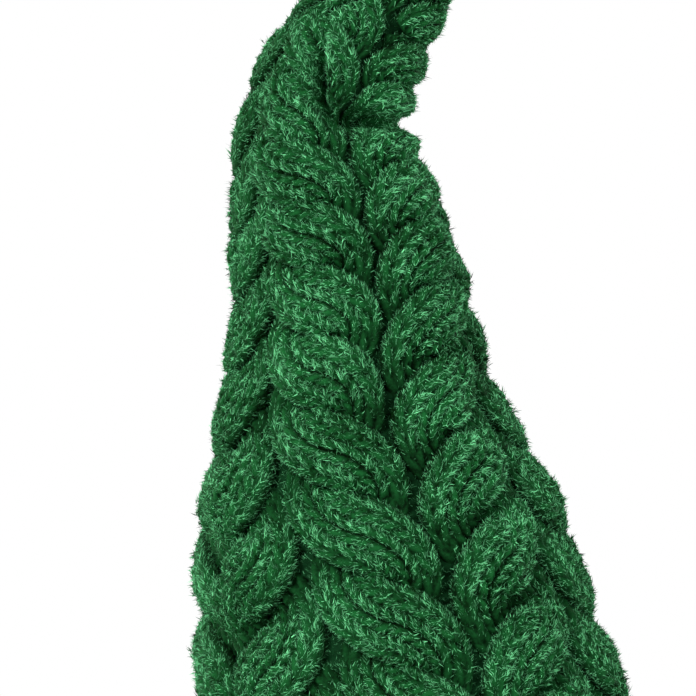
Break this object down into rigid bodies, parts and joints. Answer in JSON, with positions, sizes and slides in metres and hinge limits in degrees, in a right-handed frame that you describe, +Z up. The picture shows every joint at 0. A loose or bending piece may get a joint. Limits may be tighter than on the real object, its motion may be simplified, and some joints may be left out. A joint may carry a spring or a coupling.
{
  "type": "tomte gnome figurine",
  "caption": "Weighted felt gnome with a bead nose, pile beard, thread-jointed arms, boots and a tall cable-knitted hat on a soft wire that bends.",
  "frame": {"origin": "centre of the felt sole, on the surface that the figurine stands on", "axes": "+Z up, -Y the way the face looks, +X the gnome's left hand, which is on the viewer's right"},
  "size_m": [0.1982, 0.1725, 0.4351],
  "materials": {
    "hat_knit": "matte",
    "hat_lining": "matte",
    "body_felt": "matte",
    "mitten_felt": "matte",
    "cuff_knit": "matte",
    "boot_felt": "matte",
    "boot_sole": "satin",
    "sole_felt": "matte",
    "beard_pile": "matte",
    "backing_cloth": "matte",
    "bare_wood": "satin",
    "wadding": "matte",
    "ballast": "matte",
    "wire_steel": "satin",
    "thread": "satin"
  },
  "bodies": {
    "figure": {"base_sole": "sole_felt", "base_board": "bare_wood", "ballast_bag": "ballast", "body_shell": "body_felt", "body_filling": "wadding", "nose_ball": "bare_wood", "nose_dowel": "bare_wood", "nose_washer": "bare_wood", "beard_backing": "backing_cloth", "beard_pile": "beard_pile", "boot_left": "boot_felt", "boot_sole_left": "boot_sole", "boot_right": "boot_felt", "boot_sole_right": "boot_sole", "inner_button_left": "bare_wood", "shoulder_thread_left": "thread", "inner_button_right": "bare_wood", "shoulder_thread_right": "thread", "hat_cuff": "hat_knit", "hat_knit_lower": "hat_knit", "hat_knit_crease": "hat_knit", "hat_lining": "hat_lining", "hat_wadding_lower": "wadding", "wire_anchor_disc": "bare_wood", "wire_crimp": "wire_steel", "hat_wire_lower": "wire_steel", "hat_wire_crease": "wire_steel"},
    "arm_left": {"sleeve_left": "body_felt", "arm_filling_left": "wadding", "cuff_left": "cuff_knit", "mitten_left": "mitten_felt", "shoulder_button_left": "bare_wood"},
    "arm_right": {"sleeve_right": "body_felt", "arm_filling_right": "wadding", "cuff_right": "cuff_knit", "mitten_right": "mitten_felt", "shoulder_button_right": "bare_wood"},
    "hat_middle": {"hat_knit_middle": "hat_knit", "hat_knit_nod": "hat_knit", "hat_wadding_middle": "wadding", "hat_wire_middle": "wire_steel", "hat_wire_nod": "wire_steel"},
    "hat_upper": {"hat_knit_upper": "hat_knit", "hat_knit_tip_bend": "hat_knit", "hat_wadding_upper": "wadding", "hat_wire_upper": "wire_steel", "hat_wire_tip_bend": "wire_steel"},
    "hat_end": {"hat_knit_tip": "hat_knit", "hat_wire_tip": "wire_steel"}
  },
  "joints": [
    {"name": "hat_crease", "type": "hinge", "parent": "figure", "child": "hat_middle", "pos_m": [-0.02559, 0, 0.36214], "axis": [0, 1, 0], "range_deg": [-70, 20], "deforming": ["hat_knit_crease", "hat_wire_crease"]},
    {"name": "hat_nod", "type": "hinge", "parent": "hat_middle", "child": "hat_upper", "pos_m": [-0.00837, 0, 0.39574], "axis": [0.8221, 0, -0.5693], "range_deg": [-40, 40], "deforming": ["hat_knit_nod", "hat_wire_nod"]},
    {"name": "hat_tip_bend", "type": "hinge", "parent": "hat_upper", "child": "hat_end", "pos_m": [0.01534, 0, 0.42246], "axis": [0, 1, 0], "range_deg": [-90, 25], "deforming": ["hat_knit_tip_bend", "hat_wire_tip_bend"]},
    {"name": "arm_left_swing", "type": "hinge", "parent": "figure", "child": "arm_left", "pos_m": [0.0706, -0.006, 0.116], "axis": [-1, 0, 0], "range_deg": [-30, 75]},
    {"name": "arm_right_swing", "type": "hinge", "parent": "figure", "child": "arm_right", "pos_m": [-0.0706, -0.006, 0.116], "axis": [-1, 0, 0], "range_deg": [-30, 75]}
  ]
}
